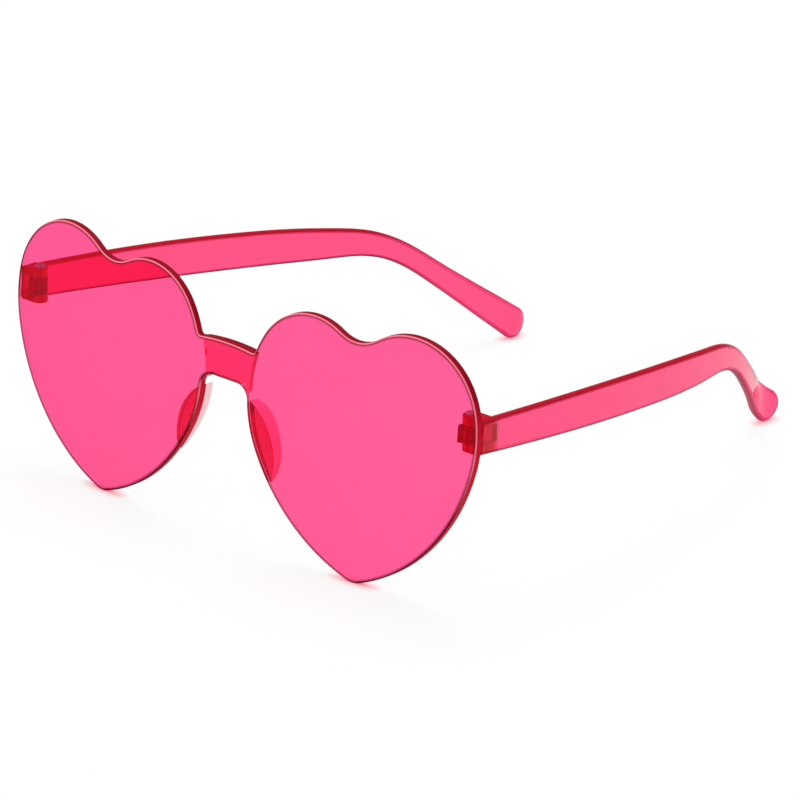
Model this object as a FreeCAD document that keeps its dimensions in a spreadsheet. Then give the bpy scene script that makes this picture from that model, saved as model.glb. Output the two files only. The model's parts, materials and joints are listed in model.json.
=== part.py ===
import FreeCAD, Part
import math
import os

import Sketcher

# Heart shaped sunglasses, standing open on the tips of the hearts and of the temples.
# Millimetres, +X to the wearer's left, +Y from the front towards the ears, +Z up.
# The pieces are drawn with the front of the lens at Y = 0 and then moved so that
# the middle of the footprint lies on the origin.

Vector = FreeCAD.Vector
Y_AXIS = Vector(0, 1, 0)
FRONT_PLANE = FreeCAD.Rotation(Vector(1, 0, 0), 90)

doc = FreeCAD.newDocument("heart_sunglasses")

# Driving dimensions, in millimetres and degrees
DIMENSIONS = (
    # one-piece front
    ("front_width", 148.0),
    ("heart_gap", 14.8),
    ("face_radius", 552.0),
    ("lens_thickness", 2.0),
    ("edge_break", 0.25),
    # outline of a heart, as shares of its width
    ("tip_across_share", 0.5015),
    ("tip_radius_share", 0.0931),
    ("outer_side_radius_share", 0.7132),
    ("outer_shoulder_radius_share", 0.488),
    ("outer_shoulder_height_share", 0.6216),
    ("outer_lobe_radius_share", 0.2823),
    ("outer_lobe_top_share", 0.9332),
    ("cleft_radius_share", 0.1502),
    ("inner_lobe_radius_share", 0.2538),
    ("inner_lobe_top_share", 0.9092),
    ("inner_shoulder_radius_share", 0.4264),
    ("inner_shoulder_height_share", 0.5631),
    ("inner_side_radius_share", 0.7297),
    # bridge between the hearts, from the top of their inner lobes down, and the rib behind it
    ("bridge_top_distance", 12.85),
    ("bridge_height", 8.8),
    ("bridge_top_radius", 60.0),
    ("bridge_corner_radius", 1.0),
    ("arch_corner_radius", 3.5),
    ("rib_thickness", 1.2),
    ("rib_setback", 0.4),
    ("bond_gap", 0.1),
    # nose pads, from the arch of the bridge down
    ("pad_top_distance", 3.7),
    ("pad_length", 17.8),
    ("pad_width", 3.6),
    ("pad_depth", 3.4),
    ("pad_crest_inset", 1.95),
    ("pad_back_reach", 4.0),
    ("pad_back_length", 25.0),
    ("pad_tilt_angle", 8.0),
    # hinges, from the side and the top of the front inwards
    ("hinge_inset", 4.7),
    ("hinge_top_distance", 19.85),
    ("hinge_setback", 2.5),
    ("knuckle_radius", 1.9),
    ("lug_width", 3.2),
    ("lug_height", 4.0),
    ("fork_height", 8.4),
    ("knuckle_gap", 0.15),
    ("slot_depth", 3.5),
    ("slot_skin", 0.8),
    ("screw_radius", 0.7),
    ("screw_clearance", 0.05),
    ("screw_head_radius", 1.3),
    ("screw_head_height", 0.6),
    ("screw_slot_width", 0.4),
    ("screw_slot_depth", 0.35),
    # temples
    ("temple_thickness", 2.2),
    ("temple_height", 9.3),
    ("temple_edge_share", 0.41),
    ("temple_inset", 1.2),
    ("temple_seat_gap", 0.3),
    ("temple_run", 99.3),
    ("ear_bend_radius", 39.0),
    # how far the temple points down, from the side
    ("run_start_angle", 5.5),
    ("run_end_angle", 7.3),
    ("ear_angle", 36.5),
    # how far the temple points inwards, from above
    ("plan_start_angle", 1.3),
    ("plan_middle_angle", 10.1),
    ("plan_bend_angle", 18.4),
    ("plan_ear_angle", 32.5),
    ("plan_tip_angle", -15.0),
    # length by which every cutting or trimmed solid runs past what it cuts
    ("overrun", 12.0),
)

# Plan of the temple: where along the reach each of its arcs ends
PLAN_ARCS = ("middle", "bend", "ear", "tip")
PLAN_END_SHARES = (0.48, 0.70, 0.92, 1.0)
# Each arc of the plan is drawn through its start, middle and end
ARC_POINT_SHARES = (0.0, 0.5, 1.0)

# Side of the temple: stations along its centre line and its height at each of them
STATION_SHARES = (-0.08, 0.0, 0.15, 0.30, 0.45, 0.55, 0.62, 0.68, 0.73, 0.78, 0.83, 0.88, 0.94, 1.0)
HEIGHT_SHARES = (0.86, 0.89, 0.96, 1.0, 0.98, 0.925, 0.83, 0.72, 0.645, 0.61, 0.63, 0.69, 0.79, 0.87)

# Faces whose normals are further apart than this meet at an edge that gets rounded
SHARP_COSINE = 0.9
# A leg of a path that turns by less than this, in radians, is straight
STRAIGHT_ANGLE = 1e-9
# Rounds in which the tip of the temple is brought down to the floor
REST_ROUNDS = 6

sheet = doc.addObject("Spreadsheet::Sheet", "sizes")
for row, (alias, number) in enumerate(DIMENSIONS, start=1):
    sheet.set(f"A{row}", alias)
    sheet.set(f"B{row}", str(number))
    sheet.setAlias(f"B{row}", alias)
doc.recompute()


def value(expression):
    """What an expression in cells of the sheet comes to."""
    return float(sheet.evalExpression(expression))


def size(alias):
    return value(f"sizes.{alias}")


def in_heart(alias):
    """A length in the outline of a heart, as an expression."""
    return f"((sizes.front_width - sizes.heart_gap) / 2 * sizes.{alias}_share)"


# Heights above the floor, and the place of the left hinge
FRONT_TOP = in_heart("outer_lobe_top")
BRIDGE_TOP = f"({in_heart('inner_lobe_top')} - sizes.bridge_top_distance)"
ARCH_TOP = f"({BRIDGE_TOP} - sizes.bridge_height)"
PAD_TOP = f"({ARCH_TOP} - sizes.pad_top_distance)"
HINGE_X = "(sizes.front_width / 2 - sizes.hinge_inset)"
HINGE_Z = f"({FRONT_TOP} - sizes.hinge_top_distance)"
HINGE_Y = ("(sizes.face_radius + sizes.hinge_setback - sqrt((sizes.face_radius - sizes.lens_thickness)^2"
           f" - {HINGE_X}^2 - {HINGE_Z}^2))")


def bind(obj, **expressions):
    """Bind properties of an object to cells of the sheet."""
    for name, expression in expressions.items():
        obj.setExpression(name, expression)
    return obj


def place(obj, x="0", y="0", z="0"):
    """Bind the place of an object to cells of the sheet."""
    obj.setExpression(".Placement.Base.x", x)
    obj.setExpression(".Placement.Base.y", y)
    obj.setExpression(".Placement.Base.z", z)
    return obj


def join(kind, name, *members):
    """Make a boolean of two or more objects."""
    result = doc.addObject(kind, name)
    if kind in ("Part::Cut", "Part::Common", "Part::Fuse"):
        result.Base, result.Tool = members
    else:
        result.Shapes = list(members)
    result.Refine = True
    return result


def sphere_behind(name, radius):
    """A sphere about the centre of curvature of the front face."""
    ball = bind(doc.addObject("Part::Sphere", name), Radius=radius)
    return place(ball, y="sizes.face_radius")


def centre_between(first, first_distance, second, second_distance, side):
    """The point at given distances from two points, on one side of the line between them."""
    line = second - first
    gap = line.Length
    along = (first_distance ** 2 - second_distance ** 2 + gap ** 2) / (2 * gap)
    across = math.sqrt(first_distance ** 2 - along ** 2)
    unit = line / gap
    return first + unit * along + Vector(-unit.y, unit.x, 0) * across * side


def towards(start, end, distance):
    """The point at a distance from start in the direction of end."""
    return start + (end - start) * (distance / (end - start).Length)


def radius_expression(name):
    """The radius of an arc of the outline, as an expression."""
    if name in ("bridge_corner", "bridge_top", "arch_corner"):
        return f"sizes.{name}_radius"
    return in_heart(f"{name}_radius")


def arc_radius(name):
    return value(radius_expression(name))


def heart_centres():
    """Centres of the arcs of the half outline, X across and Y up in the sketch."""
    half_front = size("front_width") / 2
    half_gap = size("heart_gap") / 2
    tip_radius = arc_radius("tip")
    centre = {}
    centre["tip"] = Vector(half_gap + value(in_heart("tip_across")), tip_radius, 0)
    for name, edge in (("outer", half_front - arc_radius("outer_shoulder")),
                       ("inner", half_gap + arc_radius("inner_shoulder"))):
        shoulder_radius = arc_radius(f"{name}_shoulder")
        lobe_radius = arc_radius(f"{name}_lobe")
        side_radius = arc_radius(f"{name}_side")
        shoulder = Vector(edge, value(in_heart(f"{name}_shoulder_height")), 0)
        lobe_height = value(in_heart(f"{name}_lobe_top")) - lobe_radius
        step = math.sqrt((shoulder_radius - lobe_radius) ** 2 - (lobe_height - shoulder.y) ** 2)
        sign = 1 if name == "outer" else -1
        centre[f"{name}_shoulder"] = shoulder
        centre[f"{name}_lobe"] = Vector(edge + sign * step, lobe_height, 0)
        centre[f"{name}_side"] = centre_between(
            centre["tip"], side_radius - tip_radius, shoulder, side_radius - shoulder_radius, sign)
    cleft_radius = arc_radius("cleft")
    centre["cleft"] = centre_between(
        centre["outer_lobe"], arc_radius("outer_lobe") + cleft_radius,
        centre["inner_lobe"], arc_radius("inner_lobe") + cleft_radius, -1)
    top_radius = arc_radius("bridge_top")
    corner_radius = arc_radius("bridge_corner")
    shoulder_radius = arc_radius("inner_shoulder")
    centre["bridge_top"] = Vector(0, value(BRIDGE_TOP) - top_radius, 0)
    centre["bridge_corner"] = centre_between(
        centre["bridge_top"], top_radius + corner_radius,
        centre["inner_shoulder"], shoulder_radius + corner_radius, 1)
    arch_radius = arc_radius("arch_corner")
    arch_height = value(ARCH_TOP) - arch_radius
    drop = centre["inner_shoulder"].y - arch_height
    reach = math.sqrt((shoulder_radius + arch_radius) ** 2 - drop ** 2)
    centre["arch_corner"] = Vector(centre["inner_shoulder"].x - reach, arch_height, 0)
    return centre


# Arcs of the half outline in order, counterclockwise round the heart; the concave ones run clockwise
HALF_OUTLINE = (
    ("tip", True), ("outer_side", True), ("outer_shoulder", True), ("outer_lobe", True),
    ("cleft", False), ("inner_lobe", True), ("inner_shoulder", True), ("bridge_corner", False),
    ("bridge_top", True), ("arch_corner", False), ("inner_shoulder", True), ("inner_side", True),
)
ARC_NUMBER = {name: number for number, (name, convex) in reversed(list(enumerate(HALF_OUTLINE)))}


def touch_point(centre, first, second):
    """Where two neighbouring arcs of the outline touch."""
    first_name, first_convex = first
    second_name, second_convex = second
    first_radius = arc_radius(first_name)
    second_radius = arc_radius(second_name)
    if first_convex == second_convex and first_radius < second_radius:
        return towards(centre[second_name], centre[first_name], second_radius)
    return towards(centre[first_name], centre[second_name], first_radius)


def outline_sketch(body):
    """The half outline of the front as a fully constrained sketch of tangent arcs."""
    sketch = body.newObject("Sketcher::SketchObject", "half_outline")
    plane = next(item for item in body.Origin.OriginFeatures if item.Role == "XZ_Plane")
    sketch.AttachmentSupport = [(plane, "")]
    sketch.MapMode = "FlatFace"
    centre = heart_centres()
    top = Vector(0, value(BRIDGE_TOP), 0)
    arch = Vector(0, value(ARCH_TOP), 0)
    arch_end = Vector(centre["arch_corner"].x, arch.y, 0)
    count = len(HALF_OUTLINE)
    bridge = ARC_NUMBER["bridge_top"]
    corner = ARC_NUMBER["arch_corner"]
    shoulder = ARC_NUMBER["inner_shoulder"]
    # The bridge cuts the inner shoulder in two; this is the part below it
    lower_shoulder = corner + 1
    # How a sketch numbers the ends and the centre of an arc, its own origin and its upright axis
    start, end, middle = 1, 2, 3
    origin, upright = -1, -2

    def fix(kind, *arguments):
        return sketch.addConstraint(Sketcher.Constraint(kind, *arguments))

    def drive(expression, kind, *arguments):
        number = fix(kind, *arguments, value(expression))
        sketch.setExpression(f"Constraints[{number}]", expression)

    touches = [touch_point(centre, HALF_OUTLINE[n], HALF_OUTLINE[(n + 1) % count]) for n in range(count)]
    first_point = {}
    last_point = {}
    for number, (name, convex) in enumerate(HALF_OUTLINE):
        begin = arch_end if number == corner else touches[number - 1]
        finish = top if number == bridge else touches[number]
        ends = (begin, finish) if convex else (finish, begin)
        angles = [math.atan2(point.y - centre[name].y, point.x - centre[name].x) for point in ends]
        circle = Part.Circle(centre[name], Vector(0, 0, 1), arc_radius(name))
        sketch.addGeometry(Part.ArcOfCircle(circle, *angles), False)
        first_point[number] = start if convex else end
        last_point[number] = end if convex else start
    middle_line = sketch.addGeometry(Part.LineSegment(top, arch), False)
    arch_line = sketch.addGeometry(Part.LineSegment(arch, arch_end), False)
    for number in range(count):
        if number != bridge:
            follower = (number + 1) % count
            fix("Tangent", number, last_point[number], follower, first_point[follower])
    fix("Coincident", bridge, end, middle_line, start)
    fix("Coincident", middle_line, end, arch_line, start)
    fix("Tangent", arch_line, end, corner, first_point[corner])
    fix("Horizontal", arch_line)
    fix("PointOnObject", middle_line, start, upright)
    fix("PointOnObject", middle_line, end, upright)
    fix("PointOnObject", bridge, middle, upright)
    fix("Coincident", shoulder, middle, lower_shoulder, middle)
    fix("Equal", shoulder, lower_shoulder)
    for name, number in ARC_NUMBER.items():
        drive(radius_expression(name), "Radius", number)
    drive(BRIDGE_TOP, "DistanceY", origin, start, middle_line, start)
    drive(ARCH_TOP, "DistanceY", origin, start, middle_line, end)
    across = (
        ("tip", f"sizes.heart_gap / 2 + {in_heart('tip_across')}"),
        ("outer_shoulder", f"sizes.front_width / 2 - {in_heart('outer_shoulder_radius')}"),
        ("inner_shoulder", f"sizes.heart_gap / 2 + {in_heart('inner_shoulder_radius')}"),
    )
    upward = (
        ("tip", in_heart("tip_radius")),
        ("outer_shoulder", in_heart("outer_shoulder_height")),
        ("inner_shoulder", in_heart("inner_shoulder_height")),
        ("outer_lobe", f"{in_heart('outer_lobe_top')} - {in_heart('outer_lobe_radius')}"),
        ("inner_lobe", f"{in_heart('inner_lobe_top')} - {in_heart('inner_lobe_radius')}"),
    )
    for name, expression in across:
        drive(expression, "DistanceX", origin, start, ARC_NUMBER[name], middle)
    for name, expression in upward:
        drive(expression, "DistanceY", origin, start, ARC_NUMBER[name], middle)
    return sketch


def front_blank():
    """Both hearts and the bridge as one flat plate, deeper than the curved front needs."""
    body = doc.addObject("PartDesign::Body", "front_blank")
    sketch = outline_sketch(body)
    doc.recompute()
    pad = body.newObject("PartDesign::Pad", "half_plate")
    pad.Profile = sketch
    pad.Midplane = True
    pad.setExpression("Length", "4 * sizes.overrun")
    doc.recompute()
    mirrored = body.newObject("PartDesign::Mirrored", "whole_plate")
    plane = next(item for item in body.Origin.OriginFeatures if item.Role == "YZ_Plane")
    mirrored.Originals = [pad]
    mirrored.MirrorPlane = (plane, [""])
    mirrored.Refine = True
    body.Tip = mirrored
    doc.recompute()
    return body


front_ball = sphere_behind("front_ball", "sizes.face_radius")
rear_ball = sphere_behind("rear_ball", "sizes.face_radius - sizes.lens_thickness")
bond_ball = sphere_behind("bond_ball", "sizes.face_radius - sizes.lens_thickness - sizes.bond_gap")
blank = front_blank()


def front_shield():
    """The one-piece front: both lenses and the bridge, with its edges broken."""
    curved = join("Part::Common", "front_curved", blank, front_ball)
    plate = join("Part::Cut", "front_plate", curved, rear_ball)
    doc.recompute()
    rim = []
    for number, edge in enumerate(plate.Shape.Edges, start=1):
        sides = plate.Shape.ancestorsOfType(edge, Part.Face)
        if any(isinstance(face.Surface, Part.Sphere) for face in sides):
            rim.append((number, size("edge_break"), size("edge_break")))
    shield = doc.addObject("Part::Chamfer", "front_shield")
    shield.Base = plate
    shield.Edges = rim
    return shield


def bridge_rib():
    """The thickening bonded behind the bridge, between the two hearts and a little below its top."""
    window = doc.addObject("Part::Box", "rib_window")
    shoulder = radius_expression("inner_shoulder")
    shoulder_x = f"(sizes.heart_gap / 2 + {shoulder})"
    bind(window, Length=f"2 * {shoulder_x}", Width="2 * sizes.overrun",
         Height="sizes.bridge_height + sizes.arch_corner_radius")
    place(window, x=f"-{shoulder_x}", y="-sizes.overrun", z=f"{ARCH_TOP} - sizes.arch_corner_radius")
    slab = join("Part::Common", "rib_slab", blank, window)
    seated = join("Part::Common", "rib_seated", slab, bond_ball)
    rib_ball = sphere_behind(
        "rib_ball", "sizes.face_radius - sizes.lens_thickness - sizes.bond_gap - sizes.rib_thickness")
    layer = join("Part::Cut", "rib_layer", seated, rib_ball)
    flanks = []
    for sign, name in (("-", "right"), ("", "left")):
        flank = doc.addObject("Part::Cylinder", f"rib_flank_{name}")
        flank.Placement.Rotation = FRONT_PLANE
        bind(flank, Radius=f"{shoulder} + sizes.rib_setback", Height="4 * sizes.overrun")
        place(flank, x=f"{sign}{shoulder_x}", y="2 * sizes.overrun", z=in_heart("inner_shoulder_height"))
        flanks.append(flank)
    crown = doc.addObject("Part::Cylinder", "rib_crown")
    crown.Placement.Rotation = FRONT_PLANE
    bind(crown, Radius="sizes.bridge_top_radius - sizes.rib_setback", Height="4 * sizes.overrun")
    place(crown, y="2 * sizes.overrun", z=f"{BRIDGE_TOP} - sizes.bridge_top_radius")
    lowered = join("Part::Common", "rib_lowered", layer, crown)
    trimmed = join("Part::Cut", "rib_trimmed", lowered, flanks[0])
    return join("Part::Cut", "bridge_rib", trimmed, flanks[1])


def rear_depth(x, z):
    """How far behind the apex of the front the back of the lens lies."""
    reach = (size("face_radius") - size("lens_thickness")) ** 2 - x ** 2 - z ** 2
    return size("face_radius") - math.sqrt(reach)


def flank_point(height):
    """The inner edge of the left heart at a height, X across and Y up."""
    centre = heart_centres()
    junction = towards(centre["inner_side"], centre["inner_shoulder"], arc_radius("inner_side"))
    name = "inner_shoulder" if height > junction.y else "inner_side"
    middle = centre[name]
    across = math.sqrt(arc_radius(name) ** 2 - (height - middle.y) ** 2)
    return Vector(middle.x - across, height, 0)


def nose_pad():
    """The half-moon pad behind the inner edge of the left heart, flush with that edge."""
    top = flank_point(value(PAD_TOP))
    bottom = flank_point(value(PAD_TOP) - size("pad_length"))
    chord = top - bottom
    outward = Vector(chord.y, -chord.x, 0) / chord.Length
    middle = (top + bottom) / 2
    width = size("pad_width")
    radius = ((chord.Length / 2) ** 2 + width ** 2) / (2 * width)
    centre = middle + outward * (width - radius)
    moon = bind(doc.addObject("Part::Cylinder", "pad_moon"), Height="4 * sizes.overrun")
    moon.Radius = radius
    moon.Placement = FreeCAD.Placement(Vector(centre.x, 2 * size("overrun"), centre.y), FRONT_PLANE)
    crest = middle + outward * size("pad_crest_inset")
    back = doc.addObject("Part::Ellipsoid", "pad_back")
    bind(back, Radius1="sizes.pad_back_length / 2", Radius2="sizes.pad_back_reach", Radius3="sizes.pad_depth")
    swing = FreeCAD.Rotation(Y_AXIS, math.degrees(math.atan2(chord.x, chord.y)))
    tilt = FreeCAD.Rotation(Vector(-1, 0, 0), size("pad_tilt_angle"))
    back.Placement = FreeCAD.Placement(Vector(crest.x, rear_depth(crest.x, crest.y), crest.y), swing * tilt)
    return join("Part::MultiCommon", "nose_pad_left", blank, moon, back, bond_ball)


BORE_RADIUS = "sizes.screw_radius + sizes.screw_clearance"
FORK_BOTTOM = f"{HINGE_Z} - sizes.fork_height / 2"
FORK_TOP = f"{HINGE_Z} + sizes.fork_height / 2"
SLOT_HEIGHT = "(sizes.lug_height + 2 * sizes.knuckle_gap)"
ARM_HEIGHT = f"(sizes.fork_height - {SLOT_HEIGHT}) / 2"


def hinge_post(name, radius, height, bottom):
    """An upright cylinder on the axis of the left hinge."""
    post = bind(doc.addObject("Part::Cylinder", name), Radius=radius, Height=height)
    return place(post, x=HINGE_X, y=HINGE_Y, z=bottom)


def hinge_bore(name):
    return hinge_post(name, BORE_RADIUS, "sizes.fork_height + 2 * sizes.overrun",
                      f"{FORK_BOTTOM} - sizes.overrun")


def hinge_lug():
    """The single knuckle and its foot, bonded to the back of the lens."""
    foot = doc.addObject("Part::Box", "lug_foot")
    bottom = f"{HINGE_Z} - sizes.lug_height / 2"
    bind(foot, Length="sizes.lug_width", Height="sizes.lug_height",
         Width="sizes.hinge_setback + sizes.overrun")
    place(foot, x=f"{HINGE_X} - sizes.lug_width / 2", z=bottom,
          y=f"{HINGE_Y} - sizes.hinge_setback - sizes.overrun")
    knuckle = hinge_post("lug_knuckle", "sizes.knuckle_radius", "sizes.lug_height", bottom)
    solid = join("Part::Fuse", "lug_solid", foot, knuckle)
    seated = join("Part::Common", "lug_seated", solid, bond_ball)
    return join("Part::Cut", "hinge_lug_left", seated, hinge_bore("lug_bore"))


def hinge_screw():
    """The slotted screw that pins the fork of the temple to the lug."""
    shaft = hinge_post("screw_shaft", "sizes.screw_radius", "sizes.fork_height", FORK_BOTTOM)
    head = hinge_post("screw_head", "sizes.screw_head_radius", "sizes.screw_head_height", FORK_TOP)
    solid = join("Part::Fuse", "screw_solid", shaft, head)
    slot = doc.addObject("Part::Box", "screw_slot")
    bind(slot, Length="2 * sizes.overrun", Width="sizes.screw_slot_width", Height="sizes.overrun")
    place(slot, x=f"{HINGE_X} - sizes.overrun", y=f"{HINGE_Y} - sizes.screw_slot_width / 2",
          z=f"{FORK_TOP} + sizes.screw_head_height - sizes.screw_slot_depth")
    return join("Part::Cut", "hinge_screw_left", solid, slot)


def arc_chain(start, start_turn, legs):
    """A path of tangent arcs: each leg has its length and the turn, in degrees, at its end."""
    path = []
    point = start
    turn = math.radians(start_turn)
    for length, end_turn in legs:
        end = math.radians(end_turn)
        path.append((point, turn, end, length))
        point = chain_step(path[-1], length)
        turn = end
    return path


def chain_step(leg, along):
    """The point at a length along one leg; a turn of zero runs along +X of the path."""
    point, turn, end, length = leg
    bend = (end - turn) / length
    here = turn + bend * along
    if abs(end - turn) < STRAIGHT_ANGLE:
        return point + Vector(math.cos(turn), math.sin(turn), 0) * along
    return point + Vector(math.sin(here) - math.sin(turn), math.cos(turn) - math.cos(here), 0) / bend


def chain_at(path, along):
    """The point and the turn at a length along a path, run on straight past its ends."""
    for leg in path:
        point, turn, end, length = leg
        if along <= length or leg is path[-1]:
            break
        along -= length
    inside = min(max(along, 0), length)
    here = turn + (end - turn) * inside / length
    spare = Vector(math.cos(here), math.sin(here), 0) * (along - inside)
    return chain_step(leg, inside) + spare, here


def side_path(ear_length):
    """Centre line of the temple seen from the side, from the back of the lens to the tip."""
    run_end = size("run_end_angle")
    ear = size("ear_angle")
    bend_length = size("ear_bend_radius") * math.radians(ear - run_end)
    legs = ((size("temple_run"), -run_end), (bend_length, -ear), (ear_length, -ear))
    path = arc_chain(Vector(0, value(HINGE_Z), 0), -size("run_start_angle"), legs)
    return path, sum(leg[0] for leg in legs)


def plan_path(reach):
    """Centre line of the left temple from above, along the temple and then across it."""
    legs = []
    done = 0
    for name, share in zip(PLAN_ARCS, PLAN_END_SHARES):
        legs.append(((share - done) * reach, size(f"plan_{name}_angle")))
        done = share
    return arc_chain(Vector(0, 0, 0), size("plan_start_angle"), legs)


def temple_start():
    """Where the centre line of the left temple meets the back of the lens, from above."""
    x = size("front_width") / 2 - size("temple_inset")
    return Vector(x, rear_depth(x, value(HINGE_Z)), 0)


def plan_to_floor(point):
    """From the frame of the plan path to X and Y of the glasses."""
    start = temple_start()
    return Vector(start.x - point.y, start.y + point.x, 0)


def side_outline(ear_length):
    """Upper edge, rounded tip and lower edge of the temple, in Y and Z of the glasses."""
    path, length = side_path(ear_length)
    end, end_turn = chain_at(path, length)
    tip_half = size("temple_height") * HEIGHT_SHARES[-1] / 2
    plan = plan_path(end.x + tip_half)

    def seen(point):
        depth, turn = chain_at(plan, point.x)
        return Vector(0, plan_to_floor(depth).y, point.y)

    upper = []
    lower = []
    for station, share in zip(STATION_SHARES, HEIGHT_SHARES):
        middle, turn = chain_at(path, station * length)
        half = Vector(-math.sin(turn), math.cos(turn), 0) * (size("temple_height") * share / 2)
        upper.append(seen(middle + half))
        lower.append(seen(middle - half))
    nose = seen(end + Vector(math.cos(end_turn), math.sin(end_turn), 0) * tip_half)
    tip = Part.ArcOfCircle(upper[-1], nose, lower[-1])
    return upper, tip, lower, plan


def resting_outline():
    """The outline of the temple whose tip just reaches the floor."""
    drop = math.sin(math.radians(size("ear_angle")))
    ear_length = value(HINGE_Z) / 2 / drop
    for attempt in range(REST_ROUNDS):
        upper, tip, lower, plan = side_outline(ear_length)
        lowest = tip.Center.z - tip.Radius
        ear_length += lowest / drop
    return upper, tip, lower, plan


def profile_sketch(name, rotation, curves):
    """A sketch in the document that holds the closed outline of an extrusion."""
    sketch = doc.addObject("Sketcher::SketchObject", name)
    sketch.Placement = FreeCAD.Placement(Vector(0, 0, 0), rotation)
    back = rotation.inverted()
    for curve in curves:
        flat = curve.copy()
        flat.rotate(FreeCAD.Placement(Vector(0, 0, 0), back))
        sketch.addGeometry(flat, False)
    return sketch


def extrusion(name, sketch, direction, forward, backward):
    solid = doc.addObject("Part::Extrusion", name)
    solid.Base = sketch
    solid.DirMode = "Custom"
    solid.Dir = direction
    solid.Solid = True
    return bind(solid, LengthFwd=forward, LengthRev=backward)


def curve_through(points):
    curve = Part.BSplineCurve()
    curve.interpolate(points)
    return curve


def temple_blade():
    """The bowed strip of the left temple: its side outline kept within its plan."""
    upper, tip, lower, plan = resting_outline()
    side_curves = (Part.LineSegment(lower[0], upper[0]), curve_through(upper), tip, curve_through(lower))
    across = FreeCAD.Rotation(Vector(0, 1, 0), Vector(0, 0, 1), Vector(1, 0, 0), "ZXY")
    side = profile_sketch("temple_side", across, side_curves)
    side_solid = extrusion("temple_side_solid", side, Vector(1, 0, 0), "sizes.front_width", "0")
    half = size("temple_thickness") / 2
    overrun = size("overrun")
    reach = sum(length for point, turn, end, length in plan)
    plan_curves = []
    fronts = []
    tails = []

    def rail_point(stop, offset):
        point, turn = stop
        return plan_to_floor(point + Vector(math.sin(turn), -math.cos(turn), 0) * offset)

    for offset in (half, -half):
        front = rail_point(chain_at(plan, -2 * overrun), offset)
        tail = rail_point(chain_at(plan, reach + overrun), offset)
        arcs = []
        for leg in plan:
            stops = [chain_at([leg], leg[-1] * share) for share in ARC_POINT_SHARES]
            arcs.append(Part.ArcOfCircle(*[rail_point(stop, offset) for stop in stops]))
        plan_curves.append(Part.LineSegment(front, rail_point(chain_at(plan, 0), offset)))
        plan_curves += arcs
        plan_curves.append(Part.LineSegment(rail_point(chain_at(plan, reach), offset), tail))
        fronts.append(front)
        tails.append(tail)
    plan_curves.append(Part.LineSegment(*fronts))
    plan_curves.append(Part.LineSegment(*tails))
    plan_sketch = profile_sketch("temple_plan", FreeCAD.Rotation(), plan_curves)
    plan_solid = extrusion("temple_plan_solid", plan_sketch, Vector(0, 0, 1),
                           FRONT_TOP, "sizes.overrun")
    strip = join("Part::Common", "temple_strip", side_solid, plan_solid)
    doc.recompute()
    rounded = []
    radius = size("temple_edge_share") * size("temple_thickness")
    for number, edge in enumerate(strip.Shape.Edges, start=1):
        faces = strip.Shape.ancestorsOfType(edge, Part.Face)
        normals = [face.normalAt(*face.Surface.parameter(edge.CenterOfMass)) for face in faces]
        sharp = abs(normals[0].dot(normals[1])) < SHARP_COSINE
        if sharp and edge.BoundBox.YMax > temple_start().y - size("overrun") / 2:
            rounded.append((number, radius, radius))
    blade = doc.addObject("Part::Fillet", "temple_blade")
    blade.Base = strip
    blade.Edges = rounded
    return blade


def temple():
    """The left temple with the fork of its hinge."""
    blade = temple_blade()
    pieces = [blade]
    for name, bottom in (("lower", FORK_BOTTOM), ("upper", f"{FORK_TOP} - {ARM_HEIGHT}")):
        pieces.append(hinge_post(f"fork_{name}_knuckle", "sizes.knuckle_radius", ARM_HEIGHT, bottom))
        arm = doc.addObject("Part::Box", f"fork_{name}_arm")
        bind(arm, Length="sizes.hinge_inset - sizes.temple_inset",
             Width="2 * sizes.knuckle_radius", Height=ARM_HEIGHT)
        place(arm, x=HINGE_X, y=f"{HINGE_Y} - sizes.knuckle_radius", z=bottom)
        pieces.append(arm)
    forked = join("Part::MultiFuse", "temple_forked", *pieces)
    slot = doc.addObject("Part::Box", "temple_slot")
    outer_face = "sizes.front_width / 2 - sizes.temple_inset + sizes.temple_thickness / 2"
    bind(slot, Length="sizes.overrun", Width="sizes.slot_depth + sizes.overrun", Height=SLOT_HEIGHT)
    place(slot, x=f"{outer_face} - sizes.slot_skin - sizes.overrun", y=f"{HINGE_Y} - sizes.overrun",
          z=f"{HINGE_Z} - {SLOT_HEIGHT} / 2")
    seat_ball = sphere_behind(
        "seat_ball", "sizes.face_radius - sizes.lens_thickness - sizes.temple_seat_gap")
    seated = join("Part::Common", "temple_seated", forked, seat_ball)
    slotted = join("Part::Cut", "temple_slotted", seated, slot)
    return join("Part::Cut", "temple_left", slotted, hinge_bore("temple_bore"))


def mirror_of(source, name):
    """The same piece on the wearer's right."""
    twin = doc.addObject("Part::Mirroring", name)
    twin.Source = source
    twin.Normal = Vector(1, 0, 0)
    return twin


pieces = [front_shield(), bridge_rib()]
for left in (nose_pad(), hinge_lug(), temple(), hinge_screw()):
    pieces.append(left)
    pieces.append(mirror_of(left, left.Name.replace("_left", "_right")))
doc.recompute()

# The middle of the footprint goes to the origin
boxes = [piece.Shape.optimalBoundingBox(False, False) for piece in pieces]
middle = (min(box.YMin for box in boxes) + max(box.YMax for box in boxes)) / 2
for piece in pieces:
    piece.Label = piece.Name
    if not piece.isDerivedFrom("Part::Mirroring"):
        piece.Placement.Base.y -= middle
doc.recompute()

for obj in doc.Objects:
    if "Invalid" in obj.State or "Error" in obj.State:
        raise RuntimeError(f"{obj.Name} failed: {obj.State}")
for piece in pieces:
    if piece.Shape.isNull() or not piece.Shape.isValid() or len(piece.Shape.Solids) != 1:
        raise RuntimeError(f"{piece.Label} is not one valid solid")

os.makedirs("parts", exist_ok=True)
for piece in pieces:
    piece.Shape.exportStep(os.path.join("parts", piece.Label + ".step"))
    print(piece.Label, round(piece.Shape.Volume, 2))
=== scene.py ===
import json
import math

import bpy
from mathutils import Matrix, Vector


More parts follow.
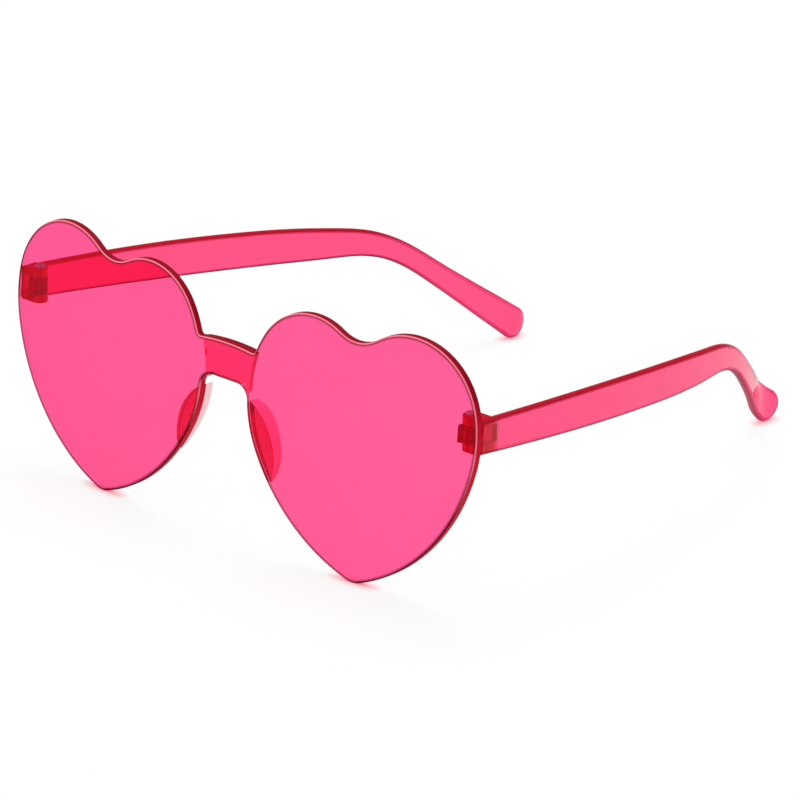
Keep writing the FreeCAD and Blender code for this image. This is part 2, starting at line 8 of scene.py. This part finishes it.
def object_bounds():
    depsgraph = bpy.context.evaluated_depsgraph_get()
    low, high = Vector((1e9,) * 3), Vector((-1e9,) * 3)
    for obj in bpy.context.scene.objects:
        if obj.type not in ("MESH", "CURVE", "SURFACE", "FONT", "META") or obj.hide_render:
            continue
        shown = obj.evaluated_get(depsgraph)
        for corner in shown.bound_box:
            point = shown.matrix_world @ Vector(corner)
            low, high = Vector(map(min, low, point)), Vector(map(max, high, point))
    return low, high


# Heart shaped sunglasses in clear pink plastic, standing open on a white floor.
# Lengths are in metres. A pair of values named for a turn or a place is where a mask begins and
# where it is full, or the other way round.

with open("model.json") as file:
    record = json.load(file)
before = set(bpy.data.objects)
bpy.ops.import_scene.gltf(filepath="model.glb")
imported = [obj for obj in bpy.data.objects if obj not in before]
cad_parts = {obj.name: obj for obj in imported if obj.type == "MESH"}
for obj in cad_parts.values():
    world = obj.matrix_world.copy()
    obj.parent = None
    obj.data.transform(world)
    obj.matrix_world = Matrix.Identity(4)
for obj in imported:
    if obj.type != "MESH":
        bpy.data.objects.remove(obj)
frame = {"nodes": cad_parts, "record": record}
cad_box = [list(corner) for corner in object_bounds()]
nodes = frame["nodes"]
scene = bpy.context.scene
MM = 0.001
WHITE = (1.0, 1.0, 1.0)

# Camera: its angles in degrees, its distance from the point it looks at, and its lens
CAMERA_AZIMUTH = 42.8771
CAMERA_ELEVATION = 20.9125
CAMERA_ROLL = 0.6448
CAMERA_DISTANCE = 1477.802 * MM
CAMERA_AIM = Vector((-13.177 * MM, -0.539 * MM, 10.069 * MM))
CAMERA_LENS = 275.5359
CAMERA_SENSOR = 36.0

# All plastics: refraction, gloss, and the noises of tint, polish and ripples as scale and detail
PLASTIC_IOR = 1.49
PLASTIC_GLOSS = 0.1
REFLECTED_TINT = (1.0, 0.4, 0.5)
CLOUDS = (90.0, 3.0)
GRAIN = (400.0, 4.0)
RIPPLES = (120.0, 1.0)
TINT_CHANGE = 0.02
POLISH_RANGE = (0.5, 1.5)
RIPPLE_STRENGTH = 1.0

# Tints at a surface, what a metre of plastic takes away, and how clear the pads and the hinge are
LENS_TINT = (1.0, 0.62, 0.63)
LENS_ABSORBED = (8.0, 760.0, 300.0)
RIB_TINT = (1.0, 0.87, 0.68)
TEMPLE_TINT = (1.0, 0.46, 0.45)
PAD_TINT = (1.0, 0.26, 0.36)
PAD_ABSORBED = (5.0, 200.0, 150.0)
PAD_CLEAR = 0.85
# The hinge's dark red and low clearness are painted shade of its thick block seen through the
# plates
HINGE_SHADE_TINT = (0.8, 0.01, 0.03)
HINGE_CLEAR = 0.6

# Painted glow, emission standing in for light that runs inside the plastic: faint on the faces,
# stronger on cut edges and walls of pads
FACE_LIGHT = (1.0, 0.0, 0.02)
FACE_GLOW = 0.03
EDGE_GLOW = 0.5
WALL_GLOW = 0.55
EDGE_ROUGHNESS = 0.35
EDGE_CHANGE = 0.1

# Front and rib: the cut edge painted opaque red in place of light seen through it, with painted
# shade where it faces up, a painted highlight along its bevel, painted shade where that faces down,
# and the rib's ends
LENS_EDGE = (0.6, 0.003, 0.025)
LENS_TOP_SHADE = (0.24, 0.002, 0.012)
LENS_BEVEL_HIGHLIGHT = (1.0, 0.2, 0.27)
LENS_UNDER_SHADE = (0.11, 0.001, 0.008)
RIB_END = (1.0, 0.25, 0.35)
# How far the normal lies along Y from the edge to its bevel, from there to the faces, and in front
BEVEL_TURN = (0.35, 0.5)
FACE_TURN = (0.9, 0.95)
FRONT_TURN = (-0.9, -0.8)
# How far the normal lies up on a cut edge in painted dark shade, and down on a bevel in painted
# dark shade
TOP_TURN = (0.0, 0.5)
UNDER_TURN = (-0.05, -0.3)
# The dark line along the rim, painted shade in place of the far edge seen through the plate: its
# colour, the reach of a rounding and how far that turns the normal
RIM_SHADE_COLOUR = (0.2, 0.001, 0.012)
LINE_REACH = 1.2 * MM
LINE_TURN = (0.998, 0.9998)

# Pads: the walls away from and towards the nose, painted in place of light through them and lighter
# towards the nose, how clear they are, how far their normal lies along Y, and their normal along X
# times the distance from the middle plane
PAD_OUTER = (1.0, 0.42, 0.55)
PAD_NOSE = (1.0, 0.75, 0.78)
WALL_CLEAR = 0.2
WALL_TURN = (0.3, 0.5)
NOSE_TURN = (2.0 * MM, -2.0 * MM)

# Temples: the upper edge in painted dark shade, the rounding beside it painted opaque pink, the
# underside in painted dark shade and the line along the ear
TEMPLE_TOP_SHADE = (0.4, 0.005, 0.018)
TEMPLE_ROUND = (0.98, 0.06, 0.2)
TEMPLE_UNDER_SHADE = (0.18, 0.01, 0.03)
EAR_LINE = (0.45, 0.03, 0.07)
# How far the normal lies up or down where the rounding begins, and where its painted shade is dark
UPPER_TURN = (0.01, 0.08)
LOWER_TURN = (-0.01, -0.08)
UPPER_DARK = (0.15, 0.5)
LOWER_DARK = (-0.25, -0.55)
# The edges grow pale, a painted lighter shade, between these places along the ear, down to a
# painted darker line where they are steep
EAR_FADE = (35.0 * MM, 55.0 * MM)
EAR_STEEP = (0.5, 0.75)
# The fork is painted a deeper red, a painted shade of the hinge inside it, and ends between these
# places behind the front
FORK_END = (-61.0 * MM, -63.0 * MM)
FORK_SHADE = (0.62, 0.015, 0.05)
FORK_EDGE = (0.4, 0.006, 0.02)
FORK_DARKNESS = 0.3

# Steel of the screws, with the marks of its turning
STEEL_COLOUR = (0.8, 0.78, 0.76)
STEEL_CHANGE = 0.08
STEEL_ROUGHNESS = (0.42, 0.6)
TURNING = (900.0, 3.0)
TURNING_STRETCH = (1.0, 1.0, 6.0)
TURNING_DEPTH = 0.01 * MM
TURNING_STRENGTH = 0.4

# Light: the room, the room in reflections, and one soft lamp
AMBIENT_STRENGTH = 0.4
MIRRORED_STRENGTH = 0.12
KEY_PLACE = (-0.15, 0.15, 0.9)
KEY_AIM = (0, 0, 0)
KEY_SIZE = 0.6
KEY_POWER = 4.2

# Floor: its own colour, what it is lifted by where it shows, and its size and place
FLOOR_COLOUR = (0.2, 0.2, 0.2)
FLOOR_LIFT = 0.85
FLOOR_SIZE = 12.0
FLOOR_GAP = 0.02 * MM
# Reflections show the floor from here backwards
FLOOR_SHOWN = (-80.0 * MM, -20.0 * MM)
# Painted pink contact shadow on the floor where the plastic comes near it
CONTACT_SHADOW_COLOUR = (1.0, 0.12, 0.22)
CONTACT_REACH = 2.5 * MM
CONTACT_SAMPLES = 8


def new_material(name):
    material = bpy.data.materials.new(name)
    material.use_nodes = True
    tree = material.node_tree
    return material, tree, tree.nodes["Principled BSDF"]


def noise(tree, scale, detail, stretch=(1.0, 1.0, 1.0)):
    """Noise in object space, in features per metre, stretched along an axis where asked."""
    coordinates = tree.nodes.new("ShaderNodeTexCoord")
    mapping = tree.nodes.new("ShaderNodeMapping")
    mapping.inputs["Scale"].default_value = stretch
    texture = tree.nodes.new("ShaderNodeTexNoise")
    texture.inputs["Scale"].default_value = scale
    texture.inputs["Detail"].default_value = detail
    tree.links.new(coordinates.outputs["Object"], mapping.inputs["Vector"])
    tree.links.new(mapping.outputs["Vector"], texture.inputs["Vector"])
    return texture.outputs["Fac"]


def spread(tree, factor, low, high, source=(0.0, 1.0)):
    """Map a factor from one range onto another, and keep it inside."""
    node = tree.nodes.new("ShaderNodeMapRange")
    node.inputs["From Min"].default_value, node.inputs["From Max"].default_value = source
    node.inputs["To Min"].default_value = low
    node.inputs["To Max"].default_value = high
    tree.links.new(factor, node.inputs["Value"])
    return node.outputs["Result"]


def rise(tree, factor, ends):
    """0 at the first end and 1 at the second."""
    return spread(tree, factor, 0.0, 1.0, ends)


def fall(tree, factor, ends=(0.0, 1.0)):
    """1 at the first end and 0 at the second."""
    return spread(tree, factor, 1.0, 0.0, ends)


def combine(tree, operation, *values):
    """Arithmetic on sockets or numbers."""
    node = tree.nodes.new("ShaderNodeMath")
    node.operation = operation
    for slot, part in zip(node.inputs, values):
        if isinstance(part, bpy.types.NodeSocket):
            tree.links.new(part, slot)
        else:
            slot.default_value = part
    return node.outputs["Value"]


def bump(tree, shader, height, distance, strength, softness=0.0):
    """Small unevenness of a surface, and softer corners where asked."""
    node = tree.nodes.new("ShaderNodeBump")
    if softness:
        soft = tree.nodes.new("ShaderNodeBevel")
        soft.inputs["Radius"].default_value = softness
        tree.links.new(soft.outputs["Normal"], node.inputs["Normal"])
    node.inputs["Distance"].default_value = distance
    node.inputs["Strength"].default_value = strength
    tree.links.new(height, node.inputs["Height"])
    tree.links.new(node.outputs["Normal"], shader.inputs["Normal"])


def wavering(tree, factor, colour, change):
    """A colour that wavers a little."""
    ramp = tree.nodes.new("ShaderNodeValToRGB")
    for element, share in zip(ramp.color_ramp.elements, (1.0 - change, 1.0 + change)):
        element.color = [min(1.0, part * share) for part in colour] + [1.0]
    tree.links.new(factor, ramp.inputs["Fac"])
    return ramp.outputs["Color"]


def along(tree, output, axis):
    """One coordinate of the place or the normal in the space of the piece."""
    coordinates = tree.nodes.new("ShaderNodeTexCoord")
    split = tree.nodes.new("ShaderNodeSeparateXYZ")
    tree.links.new(coordinates.outputs[output], split.inputs["Vector"])
    return split.outputs[axis]


def turned(tree, axis):
    """How far the normal of the surface lies along an axis, either way."""
    return combine(tree, "ABSOLUTE", along(tree, "Normal", axis))


def outside(tree, factor):
    """A factor that holds only where the surface is met from outside."""
    inside = tree.nodes.new("ShaderNodeNewGeometry").outputs["Backfacing"]
    return combine(tree, "MULTIPLY", factor, combine(tree, "SUBTRACT", 1.0, inside))


def blend(tree, factor, first, second):
    """One colour where the factor is 0 and the other where it is 1."""
    mix = tree.nodes.new("ShaderNodeMixRGB")
    tree.links.new(factor, mix.inputs["Fac"])
    for slot, colour in ((mix.inputs["Color1"], first), (mix.inputs["Color2"], second)):
        if isinstance(colour, bpy.types.NodeSocket):
            tree.links.new(colour, slot)
        else:
            slot.default_value = (*colour, 1.0)
    return mix.outputs["Color"]


def painted_glow(tree, shader, mask, colour, strength, faces=0.0):
    """Painted glow, emission standing in for light from inside the plastic, where the mask holds,
    and a little on the faces where asked.
    """
    tree.links.new(blend(tree, mask, FACE_LIGHT, colour), shader.inputs["Emission Color"])
    tree.links.new(spread(tree, mask, faces, strength), shader.inputs["Emission Strength"])


def close(tree, shader, closed, rough, polish):
    """Let no light through where the first mask holds, and take the polish off at the second."""
    roughness = combine(tree, "MULTIPLY_ADD", rough, EDGE_ROUGHNESS, polish)
    tree.links.new(fall(tree, closed), shader.inputs["Transmission Weight"])
    tree.links.new(roughness, shader.inputs["Roughness"])


def rim_line(tree):
    """1 on the front face close to its rim, where a dark line of painted shade goes."""
    rounded = tree.nodes.new("ShaderNodeBevel")
    rounded.inputs["Radius"].default_value = LINE_REACH
    surface = tree.nodes.new("ShaderNodeNewGeometry")
    turn = tree.nodes.new("ShaderNodeVectorMath")
    turn.operation = "DOT_PRODUCT"
    tree.links.new(rounded.outputs["Normal"], turn.inputs[0])
    tree.links.new(surface.outputs["Normal"], turn.inputs[1])
    near = fall(tree, turn.outputs["Value"], LINE_TURN)
    front = fall(tree, along(tree, "Normal", "Y"), FRONT_TURN)
    return combine(tree, "MULTIPLY", near, front)


def cut_edge(tree, shader, colour, polish, closed, edge):
    """The cut edge of a plate, closed, painted and a little rough, with a painted glow, between its
    clear faces.
    """
    mask = outside(tree, closed)
    painted_glow(tree, shader, mask, edge, EDGE_GLOW, FACE_GLOW)
    close(tree, shader, mask, mask, polish)
    return blend(tree, mask, colour, edge)


def lens_edge(tree, shader, colour, polish):
    """Cut edge of a lens painted red in place of light seen through it, with a painted highlight
    along its bevel, painted shade on the edge where it faces up and on the bevel where it faces
    down, and the painted dark line of its rim.
    """
    turn = turned(tree, "Y")
    upward = along(tree, "Normal", "Z")
    line = rim_line(tree)
    bevel = blend(tree, rise(tree, upward, UNDER_TURN), LENS_BEVEL_HIGHLIGHT, LENS_UNDER_SHADE)
    upper = blend(tree, rise(tree, upward, TOP_TURN), LENS_EDGE, LENS_TOP_SHADE)
    edge = blend(tree, rise(tree, turn, BEVEL_TURN), upper, bevel)
    closed = combine(tree, "MAXIMUM", fall(tree, turn, FACE_TURN), line)
    edge = blend(tree, line, edge, RIM_SHADE_COLOUR)
    return cut_edge(tree, shader, colour, polish, closed, edge)


def rib_edge(tree, shader, colour, polish):
    """Painted dark shade on the top and underside of the rib, between its ends painted a lighter
    red in place of light seen through them.
    """
    closed = fall(tree, turned(tree, "Y"), FACE_TURN)
    edge = blend(tree, turned(tree, "Z"), RIB_END, LENS_TOP_SHADE)
    return cut_edge(tree, shader, colour, polish, closed, edge)


def pad_wall(tree, shader, colour, polish):
    """Wall round a nose pad with a painted glow, painted paler, a painted lighter shade, on the
    side of the nose. It keeps the polish of the faces.
    """
    mask = outside(tree, fall(tree, turned(tree, "Y"), WALL_TURN))
    side = combine(tree, "MULTIPLY", along(tree, "Normal", "X"), along(tree, "Object", "X"))
    wall = blend(tree, rise(tree, side, NOSE_TURN), PAD_OUTER, PAD_NOSE)
    painted_glow(tree, shader, mask, wall, WALL_GLOW)
    clear = spread(tree, mask, PAD_CLEAR, WALL_CLEAR)
    tree.links.new(clear, shader.inputs["Transmission Weight"])
    return blend(tree, mask, colour, wall)


def temple_edge(tree, shader, colour, polish):
    """Rounded edges of a temple in painted dark shade with a painted glow, and the fork at its
    hinge in a painted deeper red shade.
    """
    depth = along(tree, "Object", "Y")
    upward = along(tree, "Normal", "Z")
    grain = noise(tree, *GRAIN)
    fork = rise(tree, depth, FORK_END)
    upper = rise(tree, upward, UPPER_TURN)
    lower = rise(tree, upward, LOWER_TURN)
    mask = outside(tree, combine(tree, "MAXIMUM", upper, lower))
    ear = rise(tree, depth, EAR_FADE)
    steep = rise(tree, turned(tree, "Z"), EAR_STEEP)
    pale = blend(tree, steep, TEMPLE_ROUND, EAR_LINE)
    edge = blend(tree, rise(tree, upward, UPPER_DARK), TEMPLE_ROUND,
                 wavering(tree, grain, TEMPLE_TOP_SHADE, EDGE_CHANGE))
    edge = blend(tree, rise(tree, upward, LOWER_DARK), edge,
                 wavering(tree, grain, TEMPLE_UNDER_SHADE, EDGE_CHANGE))
    edge = blend(tree, fork, blend(tree, ear, edge, pale), FORK_EDGE)
    dark = combine(tree, "MAXIMUM", mask, combine(tree, "MULTIPLY", fork, FORK_DARKNESS))
    close(tree, shader, dark, mask, polish)
    # The fork's deeper red is painted shade of the hinge inside it
    fork_shaded = blend(tree, fork, colour, wavering(tree, grain, FORK_SHADE, EDGE_CHANGE))
    both = blend(tree, mask, fork_shaded, edge)
    painted_glow(tree, shader, dark, both, EDGE_GLOW)
    return both


def clear_plastic(name, tint, absorbed, roughness, ripple, clear=1.0, softness=0.0, edge=None):
    """Clear tinted plastic that darkens with the length of the way through it."""
    material, tree, shader = new_material(name)
    shader.inputs["Transmission Weight"].default_value = clear
    shader.inputs["IOR"].default_value = PLASTIC_IOR
    shader.inputs["Specular IOR Level"].default_value = PLASTIC_GLOSS
    shader.inputs["Specular Tint"].default_value = (*REFLECTED_TINT, 1.0)
    colour = wavering(tree, noise(tree, *CLOUDS), tint, TINT_CHANGE)
    polish = spread(tree, noise(tree, *GRAIN), *(roughness * share for share in POLISH_RANGE))
    tree.links.new(polish, shader.inputs["Roughness"])
    bump(tree, shader, noise(tree, *RIPPLES), ripple, RIPPLE_STRENGTH, softness)
    if edge:
        colour = edge(tree, shader, colour, polish)
    tree.links.new(colour, shader.inputs["Base Color"])
    absorption = tree.nodes.new("ShaderNodeVolumeAbsorption")
    density = max(absorbed)
    absorption.inputs["Density"].default_value = density
    absorption.inputs["Color"].default_value = [1.0 - part / density for part in absorbed] + [1.0]
    tree.links.new(absorption.outputs["Volume"], tree.nodes["Material Output"].inputs["Volume"])
    return material


def steel(name):
    """Turned steel of the hinge screws."""
    material, tree, shader = new_material(name)
    shader.inputs["Metallic"].default_value = 1.0
    turning = noise(tree, *TURNING, TURNING_STRETCH)
    colour = wavering(tree, turning, STEEL_COLOUR, STEEL_CHANGE)
    tree.links.new(colour, shader.inputs["Base Color"])
    tree.links.new(spread(tree, turning, *STEEL_ROUGHNESS), shader.inputs["Roughness"])
    bump(tree, shader, turning, TURNING_DEPTH, TURNING_STRENGTH)
    return material


def dress_nodes():
    """Give every CAD node the finish of its slot."""
    finish = {
        "lens": clear_plastic("lens_plastic", LENS_TINT, LENS_ABSORBED,
                              roughness=0.01, ripple=0.002 * MM, edge=lens_edge),
        "rib": clear_plastic("rib_plastic", RIB_TINT, LENS_ABSORBED,
                             roughness=0.02, ripple=0.004 * MM, edge=rib_edge),
        "pad": clear_plastic("pad_plastic", PAD_TINT, PAD_ABSORBED,
                             roughness=0.05, ripple=0.01 * MM, clear=PAD_CLEAR,
                             softness=0.5 * MM, edge=pad_wall),
        "hinge": clear_plastic("hinge_plastic", HINGE_SHADE_TINT, LENS_ABSORBED,
                               roughness=0.12, ripple=0.01 * MM, clear=HINGE_CLEAR,
                               softness=0.3 * MM),
        "temple": clear_plastic("temple_plastic", TEMPLE_TINT, LENS_ABSORBED,
                                roughness=0.02, ripple=0.006 * MM, edge=temple_edge),
        "screw": steel("screw_steel"),
    }
    for part in frame["record"]["subparts"]:
        nodes[part["node"]].material_slots[0].material = finish[part["material_slot"]]


def ray_kinds(tree):
    """1 for rays that show the background, direct or through plastic, and 1 for mirrored rays."""
    kinds = tree.nodes.new("ShaderNodeLightPath").outputs
    seen = combine(tree, "MAXIMUM", kinds["Is Camera Ray"], kinds["Is Transmission Ray"])
    return seen, kinds["Is Glossy Ray"]


def white_world():
    """White where it shows, a softer light on everything else and less of it in reflections."""
    world = bpy.data.worlds.new("studio")
    world.use_nodes = True
    scene.world = world
    tree = world.node_tree
    seen, mirrored = ray_kinds(tree)
    light = tree.nodes["Background"]
    light.inputs["Color"].default_value = (*WHITE, 1.0)
    strength = spread(tree, mirrored, AMBIENT_STRENGTH, MIRRORED_STRENGTH)
    tree.links.new(strength, light.inputs["Strength"])
    white = tree.nodes.new("ShaderNodeBackground")
    white.inputs["Color"].default_value = (*WHITE, 1.0)
    white.inputs["Strength"].default_value = 1.0
    mix = tree.nodes.new("ShaderNodeMixShader")
    tree.links.new(seen, mix.inputs["Fac"])
    tree.links.new(light.outputs["Background"], mix.inputs[1])
    tree.links.new(white.outputs["Background"], mix.inputs[2])
    tree.links.new(mix.outputs["Shader"], tree.nodes["World Output"].inputs["Surface"])


def white_floor():
    """A floor that is white in full light, keeps the shadow of the glasses, and has a painted pink
    contact shadow near them.
    """
    half = FLOOR_SIZE / 2
    height = cad_box[0][2] - FLOOR_GAP
    corners = ((-half, -half), (half, -half), (half, half), (-half, half))
    mesh = bpy.data.meshes.new("floor")
    mesh.from_pydata([(x, y, height) for x, y in corners], [], [(0, 1, 2, 3)])
    floor = bpy.data.objects.new("floor", mesh)
    scene.collection.objects.link(floor)
    material, tree, shader = new_material("floor_white")
    shader.inputs["Base Color"].default_value = (*FLOOR_COLOUR, 1.0)
    shader.inputs["Roughness"].default_value = 1.0
    shader.inputs["Specular IOR Level"].default_value = 0.0
    # Painted pink contact shadow: the floor's white glow turns pink where the glasses come near
    near = tree.nodes.new("ShaderNodeAmbientOcclusion")
    near.inputs["Distance"].default_value = CONTACT_REACH
    near.samples = CONTACT_SAMPLES
    white = blend(tree, near.outputs["AO"], CONTACT_SHADOW_COLOUR, WHITE)
    tree.links.new(white, shader.inputs["Emission Color"])
    seen, mirrored = ray_kinds(tree)
    behind = rise(tree, along(tree, "Object", "Y"), FLOOR_SHOWN)
    shown = combine(tree, "MAXIMUM", seen, combine(tree, "MULTIPLY", mirrored, behind))
    tree.links.new(spread(tree, shown, 0.0, FLOOR_LIFT), shader.inputs["Emission Strength"])
    mesh.materials.append(material)


def softbox(name, place, aim, size, power):
    """A square lamp that looks at a point."""
    light = bpy.data.lights.new(name, "AREA")
    light.shape = "SQUARE"
    light.size = size
    light.energy = power
    lamp = bpy.data.objects.new(name, light)
    lamp.location = place
    lamp.rotation_mode = "QUATERNION"
    lamp.rotation_quaternion = (Vector(aim) - Vector(place)).to_track_quat("-Z", "Y")
    scene.collection.objects.link(lamp)


def camera():
    """The camera of the photograph."""
    azimuth = math.radians(CAMERA_AZIMUTH)
    elevation = math.radians(CAMERA_ELEVATION)
    right = Vector((math.cos(azimuth), math.sin(azimuth), 0))
    back = Vector((math.sin(azimuth) * math.cos(elevation),
                   -math.cos(azimuth) * math.cos(elevation), math.sin(elevation)))
    data = bpy.data.cameras.new("photo_camera")
    data.lens = CAMERA_LENS
    data.sensor_width = CAMERA_SENSOR
    eye = bpy.data.objects.new("photo_camera", data)
    turn = Matrix((right, back.cross(right), back)).transposed().to_4x4()
    roll = Matrix.Rotation(math.radians(CAMERA_ROLL), 4, "Z")
    eye.matrix_world = Matrix.Translation(CAMERA_AIM + back * CAMERA_DISTANCE) @ turn @ roll
    scene.collection.objects.link(eye)
    scene.camera = eye


scene.view_settings.view_transform = "Standard"
dress_nodes()
white_world()
white_floor()
softbox("key", KEY_PLACE, KEY_AIM, KEY_SIZE, KEY_POWER)
camera()
